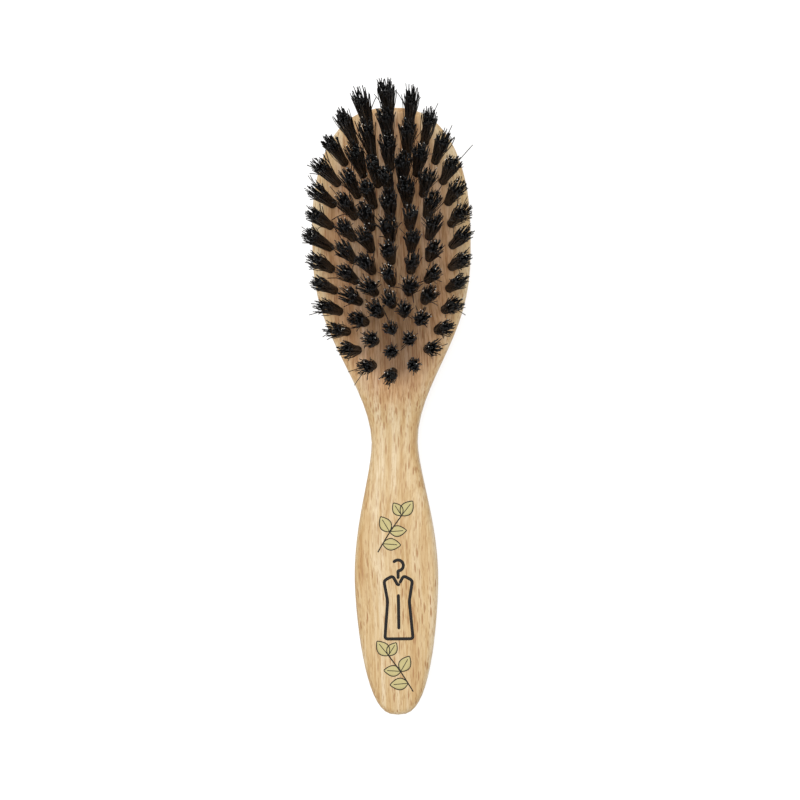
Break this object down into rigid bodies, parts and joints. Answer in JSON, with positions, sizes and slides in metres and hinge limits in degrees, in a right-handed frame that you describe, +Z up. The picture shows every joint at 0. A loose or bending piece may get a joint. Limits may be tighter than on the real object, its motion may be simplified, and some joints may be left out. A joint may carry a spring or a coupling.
{
  "type": "clothes brush",
  "caption": "Handled wooden clothes brush with an oval head, a waisted neck, a long flat grip and fanned oval rings of black bristle tufts.",
  "frame": {"origin": "on the flat back, on the centre line, at half the length of the wood", "axes": "+Z up out of the bristle face, +Y from the butt of the grip to the toe of the head, +X to the right seen from above with the toe away from the viewer"},
  "size_m": [0.0608, 0.2303, 0.042],
  "materials": {
    "beech": "satin",
    "bristle": "satin",
    "anchor_wire": "satin"
  },
  "bodies": {
    "root": {"body": "beech", "tufts_outer_ends": "bristle", "tufts_outer_right": "bristle", "tufts_outer_left": "bristle", "tufts_second_ends": "bristle", "tufts_second_right": "bristle", "tufts_second_left": "bristle", "tufts_third_ends": "bristle", "tufts_third_right": "bristle", "tufts_third_left": "bristle", "tufts_centre": "bristle", "anchors_outer_ends": "anchor_wire", "anchors_outer_right": "anchor_wire", "anchors_outer_left": "anchor_wire", "anchors_second_ends": "anchor_wire", "anchors_second_right": "anchor_wire", "anchors_second_left": "anchor_wire", "anchors_third_ends": "anchor_wire", "anchors_third_right": "anchor_wire", "anchors_third_left": "anchor_wire", "anchors_centre": "anchor_wire"}
  },
  "joints": []
}
